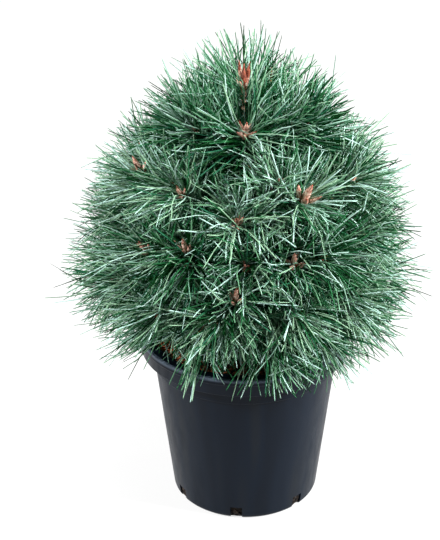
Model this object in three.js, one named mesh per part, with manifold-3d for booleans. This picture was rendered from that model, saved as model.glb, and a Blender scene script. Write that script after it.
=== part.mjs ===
// A compact blue Scots pine in a round black nursery pot, in millimetres, +Z up.
// The origin is the centre of the pot's flat underside, and the plant's front faces -Y.
import * as THREE from "three";
import { mergeVertices } from "three/addons/utils/BufferGeometryUtils.js";
import Module from "manifold-3d";

const wasm = await Module();
wasm.setup();

// Clearances between neighbouring solids.
const SEAT_GAP = 0.3;
const NEEDLE_GAP = 0.6;

// The pot: a tapered wall, a small collar under an overhanging rim, and drain holes in the bottom corner.
const POT = {
  sides: 32,
  height: 301,
  baseRadius: 124,
  topRadius: 159,
  wall: 3,
  floor: 4,
  cornerRadius: 9,
  collarOut: 3.5,
  collarFoot: 245,
  rimRadius: 176,
  rimFoot: 271,
  rimWall: 2.6,
  drainHoles: 7,
  drainTurn: -7,
  drainWidth: 20,
  drainHeight: 24,
  drainDepth: 9,
};

// The potting soil, with bark chips on top of it.
const SOIL = {
  level: 283,
  gap: 0.4,
  mound: 5,
  flatRadius: 30,
  rings: [0.75, 0.3],
  chips: 8,
  chipLength: 28,
};

// The trunk, from the soil to the foot of the leader.
const TRUNK = {
  sides: 10,
  flareRadius: 22,
  flareHeight: 34,
  rootRadius: 14,
  tipRadius: 4.4,
  top: 662,
  lean: 6,
};

// Whorls of boughs, all leaving the trunk about the height foot. Each bough carries one mass of shoots that
// fork reach before their buds. The buds stand at budRadius from the trunk's line and budHeight above the
// ground, with the whole whorl moved sideways by sway. turn and spread are degrees round the trunk from the
// front. forkRise and rise are the shoots' angles above the horizon, over all and at their buds. The single
// shoots of the top whorl stand on the trunk itself.
const WHORLS = [
  {
    name: "skirt", count: 6, shoots: 2, turn: 22, spread: 32, sway: 4,
    foot: 322, reach: 112, forkRise: -8, budRadius: 196, budHeight: 354, rise: -30,
  },
  {
    name: "low", count: 6, shoots: 2, turn: 6, spread: 31, sway: -7,
    foot: 352, reach: 112, forkRise: 8, budRadius: 213, budHeight: 424, rise: -2,
  },
  {
    name: "middle", count: 6, shoots: 2, turn: 19, spread: 30, sway: 0,
    foot: 402, reach: 112, forkRise: 18, budRadius: 198, budHeight: 508, rise: 20,
  },
  {
    name: "upper", count: 5, shoots: 2, turn: 15, spread: 37, sway: 0,
    foot: 478, reach: 108, forkRise: 28, budRadius: 168, budHeight: 585, rise: 33,
  },
  {
    name: "top", count: 5, shoots: 1, turn: 0, spread: 0, sway: 2,
    foot: 572, reach: 80, forkRise: 48, budRadius: 95, budHeight: 667, rise: 44,
  },
];
const LEADER = { budHeight: 723, lean: -3, needleLength: 103 };

// Boughs and twigs.
const BOUGH = { sides: 5, steps: 2, rootRadius: 5.4, tipRadius: 4.4, stagger: 5, endShare: 0.86, lift: 24 };
const WHORL_WANDER = { turn: 4, radius: 7, height: 8, rise: 6 };

// A shoot: a slim core of short rings whose facets are drawn out into needles, and a bud cluster at its end.
const SHOOT = { sides: 5, radius: 4, leafyLength: 94, leafyRings: 6, budLength: 24, budRadius: 5.4 };
const SIDE_BUD = { length: 13, angle: 34 };
const NEEDLE = { length: 92, lengthSpread: 0.1, rootAngle: 90, tipAngle: 20, angleSpread: 8, halfWidth: 2.4 };
const NEEDLE_TRIES = { full: 7, short: 3, lean: 6, shortening: 0.2 };

const UP = new THREE.Vector3(0, 0, 1);
const AXIS_X = new THREE.Vector3(1, 0, 0);

const FINISH = {
  pot: { color: 0x262b33, roughness: 0.45, metalness: 0 },
  soil: { color: 0x2a1c13, roughness: 0.95, metalness: 0 },
  bark: { color: 0x5f4530, roughness: 0.9, metalness: 0 },
  needles: { color: 0x47795f, roughness: 0.55, metalness: 0 },
};

// Small repeatable choices.
function seededRandom(seed) {
  let state = seed;
  return () => {
    state = (state + 0x6d2b79f5) | 0;
    let mixed = Math.imul(state ^ (state >>> 15), 1 | state);
    mixed = (mixed + Math.imul(mixed ^ (mixed >>> 7), 61 | mixed)) ^ mixed;
    return ((mixed ^ (mixed >>> 14)) >>> 0) / 2 ** 32;
  };
}

// A number from -1 to 1 that wanders with its argument.
function wander(n) {
  return Math.sin(n * 2.4 + 0.7) * Math.cos(n * 0.91);
}

function around(turnDegrees, radius, height) {
  const angle = THREE.MathUtils.degToRad(turnDegrees);
  return new THREE.Vector3(radius * Math.sin(angle), -radius * Math.cos(angle), height);
}

// Between three.js geometry and manifold-3d solids.
function solidFrom(geometry) {
  const bare = new THREE.BufferGeometry();
  bare.setAttribute("position", geometry.getAttribute("position"));
  bare.setIndex(geometry.getIndex());
  const merged = mergeVertices(bare, 1e-4);
  const mesh = new wasm.Mesh({
    numProp: 3,
    vertProperties: new Float32Array(merged.getAttribute("position").array),
    triVerts: new Uint32Array(merged.getIndex().array),
  });
  return new wasm.Manifold(mesh);
}

function geometryFrom(solid) {
  const mesh = solid.getMesh();
  const geometry = new THREE.BufferGeometry();
  geometry.setAttribute("position", new THREE.BufferAttribute(mesh.vertProperties, 3));
  geometry.setIndex(new THREE.BufferAttribute(mesh.triVerts, 1));
  geometry.computeVertexNormals();
  return geometry;
}

function largestBody(solid) {
  const bodies = solid.decompose();
  bodies.sort((a, b) => b.volume() - a.volume());
  return bodies[0];
}

function turned(profile, sides) {
  const points = profile.map(([radius, height]) => new THREE.Vector2(radius, height));
  const geometry = new THREE.LatheGeometry(points, sides);
  geometry.rotateX(Math.PI / 2);
  return geometry;
}

// Frames along a curve: across and over are square to the curve, and keep to one side of it.
function frameAt(curve, share) {
  const along = curve.getTangentAt(share);
  const chord = curve.getPointAt(1).sub(curve.getPointAt(0)).normalize();
  const side = Math.abs(chord.z) > 0.8 ? AXIS_X : UP;
  const across = side.clone().addScaledVector(along, -side.dot(along)).normalize();
  const over = across.clone().cross(along);
  return { at: curve.getPointAt(share), along, across, over };
}

// A closed tube along a curve. Each station is [share of the curve's length, radius].
function tube(curve, stations, sides) {
  const steps = stations.length - 1;
  const geometry = new THREE.CylinderGeometry(1, 1, 1, sides, steps);
  const position = geometry.getAttribute("position");
  for (let i = 0; i < position.count; i++) {
    const station = Math.round((position.getY(i) + 0.5) * steps);
    const [share, radius] = stations[station];
    const frame = frameAt(curve, share);
    const point = frame.at.addScaledVector(frame.across, position.getX(i) * radius);
    point.addScaledVector(frame.over, position.getZ(i) * radius);
    position.setXYZ(i, point.x, point.y, point.z);
  }
  return geometry;
}

function taperedStations(from, to, rootRadius, tipRadius, steps) {
  const stations = [];
  for (let i = 0; i <= steps; i++) {
    const share = THREE.MathUtils.lerp(from, to, i / steps);
    stations.push([share, THREE.MathUtils.lerp(rootRadius, tipRadius, i / steps)]);
  }
  return stations;
}

// The pot.
function potWallRadius(height) {
  return THREE.MathUtils.lerp(POT.baseRadius, POT.topRadius, height / POT.height);
}

function potInnerRadius(height) {
  return potWallRadius(height) - POT.wall;
}

function potProfile() {
  const profile = [[0, 0]];
  const corner = POT.cornerRadius;
  const cornerSteps = 3;
  for (let i = 0; i <= cornerSteps; i++) {
    const angle = ((i / cornerSteps) * Math.PI) / 2;
    const inset = corner * (1 - Math.sin(angle));
    profile.push([potWallRadius(corner) - inset, corner * (1 - Math.cos(angle))]);
  }
  const collar = potWallRadius(POT.collarFoot) + POT.collarOut;
  const skirtInside = POT.rimRadius - POT.rimWall;
  const underRim = POT.height - POT.rimWall;
  profile.push([potWallRadius(POT.collarFoot), POT.collarFoot]);
  profile.push([collar, POT.collarFoot + 3]);
  profile.push([collar + 2, POT.rimFoot]);
  profile.push([potWallRadius(underRim), underRim]);
  profile.push([skirtInside, underRim]);
  profile.push([skirtInside - 2, POT.rimFoot]);
  profile.push([POT.rimRadius - 2, POT.rimFoot]);
  profile.push([POT.rimRadius, POT.height - 2]);
  profile.push([POT.rimRadius - 2, POT.height]);
  profile.push([potInnerRadius(POT.height), POT.height]);
  profile.push([potInnerRadius(POT.floor + corner), POT.floor + corner]);
  profile.push([potInnerRadius(POT.floor) - corner, POT.floor]);
  profile.push([0, POT.floor]);
  return profile;
}

function drainHole(index) {
  const turn = POT.drainTurn + (index * 360) / POT.drainHoles;
  const hole = new THREE.BoxGeometry(POT.drainWidth, 2 * POT.drainDepth, 2 * POT.drainHeight);
  const centre = around(turn, POT.baseRadius + 1, 0);
  hole.rotateZ(THREE.MathUtils.degToRad(turn));
  hole.translate(centre.x, centre.y, centre.z);
  return solidFrom(hole);
}

function makePot() {
  let pot = solidFrom(turned(potProfile(), POT.sides));
  for (let i = 0; i < POT.drainHoles; i++) {
    pot = pot.subtract(drainHole(i));
  }
  return geometryFrom(pot);
}

// The soil fills the pot, level where the trunk stands and a little uneven elsewhere.
function soilHeight(x, y) {
  const radius = Math.hypot(x, y);
  const rough = THREE.MathUtils.smoothstep(radius, SOIL.flatRadius, SOIL.flatRadius + 40);
  const bumps = wander(x * 0.021 + 3) + wander(y * 0.027 + x * 0.008);
  return SOIL.level + rough * SOIL.mound * (bumps * 0.5 - 0.5);
}

function soilProfile() {
  const corner = POT.floor + POT.cornerRadius;
  const shoulder = SOIL.level - 8;
  const edge = potInnerRadius(SOIL.level) - SOIL.gap;
  const profile = [[0, POT.floor + SEAT_GAP]];
  profile.push([potInnerRadius(POT.floor) - POT.cornerRadius - 1, POT.floor + SEAT_GAP]);
  profile.push([potInnerRadius(corner) - 1, corner]);
  profile.push([potInnerRadius(shoulder) - SOIL.gap, shoulder]);
  SOIL.rings.forEach((share) => profile.push([edge * share, SOIL.level]));
  profile.push([0, SOIL.level]);
  return profile;
}

function barkChip(index, random) {
  const share = Math.sqrt((index + 0.5) / SOIL.chips);
  const reach = potInnerRadius(SOIL.level) - SOIL.chipLength;
  const place = around(index * 137.5, THREE.MathUtils.lerp(TRUNK.flareRadius + 26, reach, share), 0);
  const size = SOIL.chipLength * (0.6 + 0.4 * random());
  const chip = new THREE.BoxGeometry(size, size * 0.55, 5);
  chip.rotateX((random() - 0.5) * 0.7);
  chip.rotateY((random() - 0.5) * 0.7);
  chip.rotateZ(random() * Math.PI);
  chip.translate(place.x, place.y, soilHeight(place.x, place.y) + 1);
  return solidFrom(chip);
}

function makeSoil() {
  const random = seededRandom(11);
  const bed = turned(soilProfile(), POT.sides);
  const position = bed.getAttribute("position");
  for (let i = 0; i < position.count; i++) {
    if (position.getZ(i) > SOIL.level - 1) {
      position.setZ(i, soilHeight(position.getX(i), position.getY(i)));
    }
  }
  let soil = solidFrom(bed);
  for (let i = 0; i < SOIL.chips; i++) {
    soil = soil.add(barkChip(i, random));
  }
  return geometryFrom(largestBody(soil));
}

// The trunk rises through the crown with a slight lean and a root flare.
const trunkFoot = SOIL.level + SEAT_GAP;
const trunkCurve = new THREE.CatmullRomCurve3([
  new THREE.Vector3(0, 0, trunkFoot - 4),
  new THREE.Vector3(TRUNK.lean * 0.6, TRUNK.lean * 0.4, trunkFoot + 120),
  new THREE.Vector3(TRUNK.lean, -TRUNK.lean * 0.5, trunkFoot + 250),
  new THREE.Vector3(0, 0, TRUNK.top),
]);

function trunkSolid(extra) {
  const stem = solidFrom(tube(trunkCurve, trunkStations(extra), TRUNK.sides));
  return stem.trimByPlane([0, 0, 1], trunkFoot);
}

function trunkStations(extra) {
  const length = trunkCurve.getLength();
  const heights = [0, 0.25 * TRUNK.flareHeight, TRUNK.flareHeight, 90, 150, 210, 270, 330];
  const stations = heights.map((height) => {
    const share = height / length;
    const flare = (TRUNK.flareRadius - TRUNK.rootRadius) * Math.exp((-3 * height) / TRUNK.flareHeight);
    return [share, THREE.MathUtils.lerp(TRUNK.rootRadius, TRUNK.tipRadius, share) + flare + extra];
  });
  stations.push([1, TRUNK.tipRadius + extra]);
  return stations;
}

const trunkClearance = trunkSolid(SEAT_GAP);

function trunkPointAt(height) {
  const share = (height - trunkFoot) / (TRUNK.top - trunkFoot);
  return trunkCurve.getPointAt(THREE.MathUtils.clamp(share, 0, 1));
}

// Every shoot of the plant: its fork, its bud and the curve between them.
function shootDirection(turn, rise) {
  const lift = THREE.MathUtils.degToRad(rise);
  return around(turn, Math.cos(lift), Math.sin(lift));
}

function makeShoot(whorl, boughIndex, shootIndex, fork, number) {
  const sideways = shootIndex - (whorl.shoots - 1) / 2;
  const boughTurn = whorl.turn + (boughIndex * 360) / whorl.count;
  const turn = boughTurn + sideways * whorl.spread + WHORL_WANDER.turn * wander(number);
  const radius = whorl.budRadius + WHORL_WANDER.radius * wander(number + 0.37);
  const height = whorl.budHeight + WHORL_WANDER.height * wander(number + 0.71);
  const direction = shootDirection(turn, whorl.rise + WHORL_WANDER.rise * wander(number + 0.53));
  const bud = around(turn, radius, height);
  bud.x += whorl.sway;
  const bend = bud.clone().addScaledVector(direction, -0.55 * whorl.reach);
  const curve = new THREE.QuadraticBezierCurve3(fork, bend, bud);
  return { curve, bud, direction, needleLength: NEEDLE.length };
}

function makeBranch(whorl, boughIndex, firstNumber) {
  const turn = whorl.turn + (boughIndex * 360) / whorl.count;
  const direction = shootDirection(turn, whorl.forkRise);
  const gather = whorl.shoots > 1 ? 0.97 : 1;
  const middle = around(turn, whorl.budRadius * gather, whorl.budHeight);
  middle.x += whorl.sway;
  const fork = middle.clone().addScaledVector(direction, -whorl.reach);
  const root = trunkPointAt(whorl.foot + BOUGH.stagger * (boughIndex % 2 ? 1 : -1));
  const leave = root.clone().addScaledVector(shootDirection(turn, BOUGH.lift), 0.45 * fork.distanceTo(root));
  const boughCurve = new THREE.QuadraticBezierCurve3(root, leave, fork);
  const shoots = [];
  for (let i = 0; i < whorl.shoots; i++) {
    shoots.push(makeShoot(whorl, boughIndex, i, fork, firstNumber + i));
  }
  return { name: `${whorl.name}_${boughIndex + 1}`, hasBough: whorl.shoots > 1, boughCurve, shoots };
}

function makeLeaderBranch() {
  const foot = new THREE.Vector3(0, 0, TRUNK.top + SEAT_GAP);
  const bud = new THREE.Vector3(LEADER.lean, 0, LEADER.budHeight);
  const bend = foot.clone().lerp(bud, 0.5);
  const curve = new THREE.QuadraticBezierCurve3(foot, bend, bud);
  const shoot = { curve, bud, direction: UP, needleLength: LEADER.needleLength };
  return { name: "leader", hasBough: false, boughCurve: null, shoots: [shoot] };
}

const branches = [];
let shootNumber = 0;
for (const whorl of WHORLS) {
  for (let i = 0; i < whorl.count; i++) {
    branches.push(makeBranch(whorl, i, shootNumber));
    shootNumber += whorl.shoots;
  }
}
branches.push(makeLeaderBranch());

// A branch's territory is all that lies nearer to its own shoots than to any other branch's.
function chainOf(curve, steps, end = 1) {
  const points = [];
  for (let i = 0; i <= steps; i++) {
    points.push(curve.getPointAt((end * i) / steps));
  }
  return points;
}

function chainDistance(point, chain) {
  const line = new THREE.Line3();
  const nearest = new THREE.Vector3();
  let best = Infinity;
  for (let i = 1; i < chain.length; i++) {
    line.set(chain[i - 1], chain[i]);
    line.closestPointToPoint(point, true, nearest);
    best = Math.min(best, nearest.distanceTo(point));
  }
  return best;
}

for (const branch of branches) {
  branch.chains = branch.shoots.map((shoot) => {
    const tip = shoot.bud.clone().addScaledVector(shoot.direction, SHOOT.budLength);
    return [...chainOf(shoot.curve, 4), tip];
  });
}

function territoryMargin(point, branch) {
  let own = Infinity;
  let other = Infinity;
  for (const candidate of branches) {
    for (const chain of candidate.chains) {
      const distance = chainDistance(point, chain);
      if (candidate === branch) {
        own = Math.min(own, distance);
      } else {
        other = Math.min(other, distance);
      }
    }
  }
  return (other - own) / 2;
}

// A bough ends a little before its fork, and its mass's stem goes on from there.
for (const branch of branches) {
  if (branch.boughCurve) {
    branch.limbEnd = branch.hasBough ? BOUGH.endShare : 0;
    branch.stemStart = branch.hasBough ? BOUGH.endShare + SEAT_GAP / branch.boughCurve.getLength() : 0;
  }
}

// Limbs that needles keep clear of: chains of points with a radius.
const limbs = [{ chain: chainOf(trunkCurve, 10), radius: TRUNK.rootRadius }];
for (const branch of branches) {
  if (branch.boughCurve) {
    limbs.push({ chain: chainOf(branch.boughCurve, 8), radius: BOUGH.rootRadius });
  }
}

function clearOfPot(point, reach) {
  const radius = Math.hypot(point.x, point.y);
  const outside = radius > POT.rimRadius + reach + 1;
  const above = point.z > POT.height + reach + 1;
  const overSoil = radius < potInnerRadius(POT.height) - reach && point.z > SOIL.level + 14;
  return outside || above || overSoil;
}

// A needle is drawn out of a facet of its shoot's core, and is known by its root, tip and half width.
function needleFits(needle, branch, placed) {
  const samples = 14;
  const siblings = branch.chains.filter((chain, i) => branch.shoots[i] !== needle.shoot);
  const point = new THREE.Vector3();
  for (let i = 1; i <= samples; i++) {
    const share = i / samples;
    const reach = needle.halfWidth * (1 - share) + NEEDLE_GAP;
    point.lerpVectors(needle.root, needle.tip, share);
    if (territoryMargin(point, branch) < reach || !clearOfPot(point, reach)) {
      return false;
    }
    if (limbs.some((limb) => chainDistance(point, limb.chain) < limb.radius + reach)) {
      return false;
    }
    if (siblings.some((chain) => chainDistance(point, chain) < SHOOT.radius + reach)) {
      return false;
    }
  }
  return placed.every((other) => needlesClear(needle, other));
}

// Whether two straight needles stay apart, tested at steps along both.
function needlesClear(a, b) {
  const samples = 12;
  const sameShoot = a.shoot === b.shoot;
  const line = new THREE.Line3(b.root, b.tip);
  const point = new THREE.Vector3();
  const nearest = new THREE.Vector3();
  for (let i = 1; i <= samples; i++) {
    const share = i / samples;
    point.lerpVectors(a.root, a.tip, share);
    const along = line.closestPointToPointParameter(point, true);
    line.at(along, nearest);
    const widths = a.halfWidth * (1 - share) + b.halfWidth * (1 - along);
    const nearRoots = sameShoot && share < 0.2 && along < 0.2;
    if (!nearRoots && nearest.distanceTo(point) < widths + 0.1) {
      return false;
    }
  }
  return true;
}

function tryNeedle(root, frame, rank, shoot, branch, placed, random) {
  const outward = root.clone().sub(frame.at);
  outward.addScaledVector(frame.along, -outward.dot(frame.along)).normalize();
  const sideways = outward.clone().cross(frame.along);
  const natural = THREE.MathUtils.lerp(NEEDLE.rootAngle, NEEDLE.tipAngle, rank);
  for (let i = 0; i < NEEDLE_TRIES.full + NEEDLE_TRIES.short; i++) {
    const angle = natural + NEEDLE.angleSpread * (2 * random() - 1) - i * NEEDLE_TRIES.lean;
    const swerve = NEEDLE.angleSpread * (2 * random() - 1);
    const bent = THREE.MathUtils.degToRad(Math.max(angle, 10));
    const direction = frame.along.clone().multiplyScalar(Math.cos(bent));
    direction.addScaledVector(outward, Math.sin(bent));
    direction.addScaledVector(sideways, Math.tan(THREE.MathUtils.degToRad(swerve))).normalize();
    const shrink = 1 - NEEDLE_TRIES.shortening * Math.max(0, i - NEEDLE_TRIES.full + 1);
    const length = shoot.needleLength * (1 + NEEDLE.lengthSpread * (2 * random() - 1)) * shrink;
    const tip = root.clone().addScaledVector(direction, length);
    const needle = { root, tip, shoot, halfWidth: NEEDLE.halfWidth };
    if (needleFits(needle, branch, placed)) {
      return needle;
    }
  }
  return null;
}

// The stretch of a curve from one share of its length to its end.
class CurveEnd extends THREE.Curve {
  constructor(curve, from) {
    super();
    this.curve = curve;
    this.from = from;
  }

  getPoint(t) {
    return this.curve.getPointAt(THREE.MathUtils.lerp(this.from, 1, t));
  }
}

// A shoot's line runs on through its bud cluster, and a branch's first shoot has the branch's stem below it.
function shootLine(shoot, branch) {
  const line = new THREE.CurvePath();
  const tip = shoot.bud.clone().addScaledVector(shoot.direction, SHOOT.budLength);
  if (branch.boughCurve && shoot === branch.shoots[0]) {
    line.add(new CurveEnd(branch.boughCurve, branch.stemStart));
  }
  line.add(shoot.curve);
  line.add(new THREE.LineCurve3(shoot.bud, tip));
  return line;
}

// The rings of a shoot's core: the stem up to the fork, the leafy part and the bud cluster.
function shootStations(forkAt, leafyStart, budStart, length) {
  const stations = [[0, SHOOT.radius * (forkAt > 0 ? 1 : 0.6)]];
  if (forkAt > 0) {
    stations.push([forkAt / length, SHOOT.radius]);
  }
  for (let i = 0; i <= SHOOT.leafyRings; i++) {
    const from = THREE.MathUtils.lerp(leafyStart, budStart, i / SHOOT.leafyRings);
    stations.push([from / length, SHOOT.radius]);
  }
  stations.push([(budStart + 0.4 * SHOOT.budLength) / length, SHOOT.budRadius]);
  stations.push([1, 1]);
  return stations;
}

// Draws triangles of a closed mesh out to a point each. apexOf returns that point, or null to leave a facet flat.
function drawnOut(geometry, apexOf) {
  const bare = new THREE.BufferGeometry();
  bare.setAttribute("position", geometry.getAttribute("position"));
  bare.setIndex(geometry.getIndex());
  const merged = mergeVertices(bare, 1e-4);
  const position = merged.getAttribute("position");
  const index = merged.getIndex().array;
  const points = Array.from(position.array);
  const faces = [];
  for (let i = 0; i < index.length; i += 3) {
    const corners = [index[i], index[i + 1], index[i + 2]];
    const apex = apexOf(corners.map((corner) => new THREE.Vector3().fromBufferAttribute(position, corner)));
    if (apex) {
      const tip = points.length / 3;
      points.push(apex.x, apex.y, apex.z);
      faces.push(corners[0], corners[1], tip, corners[1], corners[2], tip, corners[2], corners[0], tip);
    } else {
      faces.push(...corners);
    }
  }
  const grown = new THREE.BufferGeometry();
  grown.setAttribute("position", new THREE.Float32BufferAttribute(points, 3));
  grown.setIndex(faces);
  return grown;
}

function makeShootSolid(shoot, branch, placed, random) {
  const line = shootLine(shoot, branch);
  const length = line.getLength();
  const budStart = length - SHOOT.budLength;
  const leafyStart = Math.max(3, budStart - SHOOT.leafyLength);
  const forkAt = budStart - shoot.curve.getLength();
  const stations = shootStations(forkAt > 1 ? forkAt : 0, leafyStart, budStart, length);
  const core = tube(line, stations, SHOOT.sides);
  const grown = drawnOut(core, (corners) => {
    const root = corners[0].clone().add(corners[1]).add(corners[2]).divideScalar(3);
    const share = nearestShare(line, root);
    const from = share * length;
    const frame = frameAt(line, share);
    const onCap = root.distanceTo(frame.at) < 0.5 * SHOOT.radius;
    if (onCap || from < leafyStart + 1) {
      return null;
    }
    if (from > budStart) {
      return from < budStart + 0.2 * SHOOT.budLength ? sideBudTip(root, frame) : null;
    }
    const rank = (from - leafyStart) / (budStart - leafyStart);
    const needle = tryNeedle(root, frame, rank, shoot, branch, placed, random);
    if (!needle) {
      return null;
    }
    placed.push(needle);
    return needle.tip;
  });
  return solidFrom(grown);
}

// Round the bud's foot, a facet of each pair becomes a side bud.
function sideBudTip(root, frame) {
  const outward = root.clone().sub(frame.at).normalize();
  const angle = THREE.MathUtils.degToRad(SIDE_BUD.angle);
  const direction = frame.along.clone().multiplyScalar(Math.cos(angle)).addScaledVector(outward, Math.sin(angle));
  return root.clone().addScaledVector(direction, SIDE_BUD.length);
}

function nearestShare(curve, point) {
  const steps = 60;
  let best = 0;
  let bestDistance = Infinity;
  for (let i = 0; i <= steps; i++) {
    const distance = curve.getPointAt(i / steps).distanceTo(point);
    if (distance < bestDistance) {
      bestDistance = distance;
      best = i / steps;
    }
  }
  return best;
}

function makeMass(branch, seed) {
  const random = seededRandom(seed);
  const placed = [];
  const solids = branch.shoots.map((shoot) => makeShootSolid(shoot, branch, placed, random));
  const joined = solids.reduce((whole, piece) => whole.add(piece));
  return geometryFrom(largestBody(joined.subtract(trunkClearance)));
}

function makeBough(branch) {
  const stations = taperedStations(0, branch.limbEnd, BOUGH.rootRadius, BOUGH.tipRadius, BOUGH.steps);
  const limb = solidFrom(tube(branch.boughCurve, stations, BOUGH.sides));
  return geometryFrom(largestBody(limb.subtract(trunkClearance)));
}

// The plant in its pot.
const plant = new THREE.Group();

function place(name, geometry, finish) {
  const mesh = new THREE.Mesh(geometry, new THREE.MeshStandardMaterial(FINISH[finish]));
  mesh.name = name;
  plant.add(mesh);
}

place("pot", makePot(), "pot");
place("soil", makeSoil(), "soil");
place("trunk", geometryFrom(trunkSolid(0)), "bark");
branches.forEach((branch, i) => {
  if (branch.hasBough) {
    place(`bough_${branch.name}`, makeBough(branch), "bark");
  }
  place(`needles_${branch.name}`, makeMass(branch, 101 + i), "needles");
});

export default plant;
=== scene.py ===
# A compact blue Scots pine in a round black nursery pot, finished for the camera. Metres, +Z up.
from math import cos, degrees, pi, radians, sin, sqrt
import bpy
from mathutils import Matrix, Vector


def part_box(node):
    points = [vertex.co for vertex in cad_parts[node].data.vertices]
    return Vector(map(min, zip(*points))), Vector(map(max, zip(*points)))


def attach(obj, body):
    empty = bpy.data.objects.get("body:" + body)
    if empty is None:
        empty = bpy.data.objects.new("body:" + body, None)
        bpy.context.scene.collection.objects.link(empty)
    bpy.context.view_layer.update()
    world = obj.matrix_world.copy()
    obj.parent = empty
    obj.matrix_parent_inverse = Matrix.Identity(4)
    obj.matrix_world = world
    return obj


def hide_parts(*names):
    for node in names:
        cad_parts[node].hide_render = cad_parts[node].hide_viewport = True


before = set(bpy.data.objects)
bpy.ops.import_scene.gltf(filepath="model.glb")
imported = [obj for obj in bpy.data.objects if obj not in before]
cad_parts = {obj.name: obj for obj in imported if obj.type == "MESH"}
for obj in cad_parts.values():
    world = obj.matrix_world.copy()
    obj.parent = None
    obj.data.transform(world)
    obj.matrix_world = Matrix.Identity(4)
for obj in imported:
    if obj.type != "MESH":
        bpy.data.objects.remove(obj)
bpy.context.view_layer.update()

from types import SimpleNamespace as Named

import bpy
import numpy as np
from mathutils import Vector

scene = bpy.context.scene


# Settings in rows under named columns, as a list or by the value in the first column.
def table(columns, *rows):
    return [Named(**dict(zip(columns.split(), row))) for row in rows]


def keyed(columns, *rows):
    return {row[0]: line for row, line in zip(rows, table(columns, *rows))}


# Sizes that the frame gives.
POT_HIGH = np.array(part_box("pot")[1])
TRUNK_LOW, TRUNK_HIGH = (np.array(corner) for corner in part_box("trunk"))
POT_TOP = POT_HIGH[2]
RIM_RADIUS = POT_HIGH[0]
TRUNK_FOOT = TRUNK_LOW[2]
TRUNK_TOP = TRUNK_HIGH[2]

# The pot, as it was moulded.
POT = Named(
    sides=192, base_radius=0.124, top_radius=0.159, wall=0.003, floor=0.004, corner=0.009,
    collar_out=0.0035, collar_foot=0.245, rim_foot=0.271, rim_wall=0.0026, round=0.0012, lip=0.0035,
)
DRAIN = Named(holes=7, turn=-7, width=0.020, height=0.024, depth=0.009, bevel=0.003)
DRAIN_TURNS = [DRAIN.turn + index * 360 / DRAIN.holes for index in range(DRAIN.holes)]

# The soil with its bark chips, and the crumbs and fine roots in the drain notches.
SOIL = Named(level=0.283, mound=0.005, flat_radius=0.03, gap=0.0004, rings=56, spokes=150)
PLUG = Named(crumbs=80, size=(0.0016, 0.0038), depth=0.0034, roots=4, root_radius=(0.0004, 0.0008))
CHIPS = Named(
    count=420, length=(0.010, 0.034), slimness=(0.3, 0.65), thick=(0.0025, 0.006),
    layers=((0.86, -0.5), (1.0, -0.1), (0.97, 0.25), (0.72, 0.5)), tilt=0.22,
    colour_shares=(0.45, 0.35, 0.2), nearest=0.026,
)

# The trunk, and the growth rule of the boughs and shoots.
TRUNK = Named(
    flare_radius=0.022, flare_height=0.034, root_radius=0.014, tip_radius=0.0044, lean=0.006,
)
WHORLS = table(
    "name count shoots turn spread sway foot reach fork_rise bud_radius bud_height rise",
    ("skirt", 6, 2, 22, 32, 0.004, 0.322, 0.112, -8, 0.196, 0.354, -30),
    ("low", 6, 2, 6, 31, -0.007, 0.352, 0.112, 8, 0.213, 0.424, -2),
    ("middle", 6, 2, 19, 30, 0.0, 0.402, 0.112, 18, 0.198, 0.508, 20),
    ("upper", 5, 2, 15, 37, 0.0, 0.478, 0.108, 28, 0.168, 0.585, 33),
    ("top", 5, 1, 0, 0, 0.002, 0.572, 0.080, 48, 0.095, 0.667, 44),
)
WHORL_MARKS = np.array([whorl.foot for whorl in WHORLS]) - TRUNK_FOOT
LEADER = Named(bud_height=0.723, lean=-0.003)
BOUGH = Named(root_radius=0.0054, tip_radius=0.0044, thin=0.72, stagger=0.005, lift=24, gather=0.97)
WANDER = Named(turn=4, radius=0.007, height=0.008, rise=6)
BEND_SHARE = 0.55

# Finer growth: side twigs, the bark of the stems, and needles in pairs.
TWIG = Named(
    length=(0.060, 0.074), starts=(0.10, 0.34), yaw=(30, 52), pitch=20, tilts=(-6, 12), upturn=0.35,
    radius=0.0022,
)
STEM = keyed(
    "kind rings sides slot radius foot tip",
    ("shoot", 26, 8, 0, 0.0032, 1.12, 0.9),
    ("leader", 90, 20, 1, 0.0042, 0.72, 1.05),
)
NEEDLE = Named(
    spread=0.17, width=0.0021, thick=0.0014, tip_angle=33, angle_spread=13, pair_angle=(4, 15),
    curve=0.22, droop=0.14, bend_stray=0.22, wild_bend=0.34,
)

# How the needles of each whorl stand. tint is their depth of colour and variety its spread, root_angle is
# that of the oldest ones to the stem, stray is how far each leaves its place, and wild is the share of them
# that bends strongly.
HABIT = keyed(
    "whorl tint variety density length root_angle stray wild",
    ("skirt", 2.6, 1.25, 0.94, 0.092, 78, 0.14, 0.16),
    ("low", 2.3, 1.35, 0.94, 0.092, 80, 0.17, 0.32),
    ("middle", 3.05, 1.35, 1.0, 0.091, 80, 0.20, 0.42),
    ("upper", 2.0, 1.1, 1.0, 0.093, 78, 0.18, 0.38),
    ("top", 3.0, 0.95, 0.95, 0.105, 66, 0.14, 0.14),
    ("leader", 3.0, 0.95, 1.2, 0.108, 66, 0.15, 0.08),
)

# The needle pairs on each kind of stem: where they start and end, how many there are, their ranks from old
# to young, their share of the full length, and the radius of the bark that they stand on.
SPRAY = keyed(
    "kind start_share start_gap end_gap per_metre ranks length radius",
    ("shoot", 0, 0, 0.001, 1450, (0, 1), 1, STEM["shoot"].radius),
    ("leader", 0.05, 0, 0.001, 1450, (0.1, 0.9), 1, STEM["leader"].radius),
    ("twig", 0, 0.008, 0, 1200, (0.1, 1), 0.9, TWIG.radius),
    ("bough", 0.45, 0, 0, 450, (0, 0.25), 0.85, 0.004),
)

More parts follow.
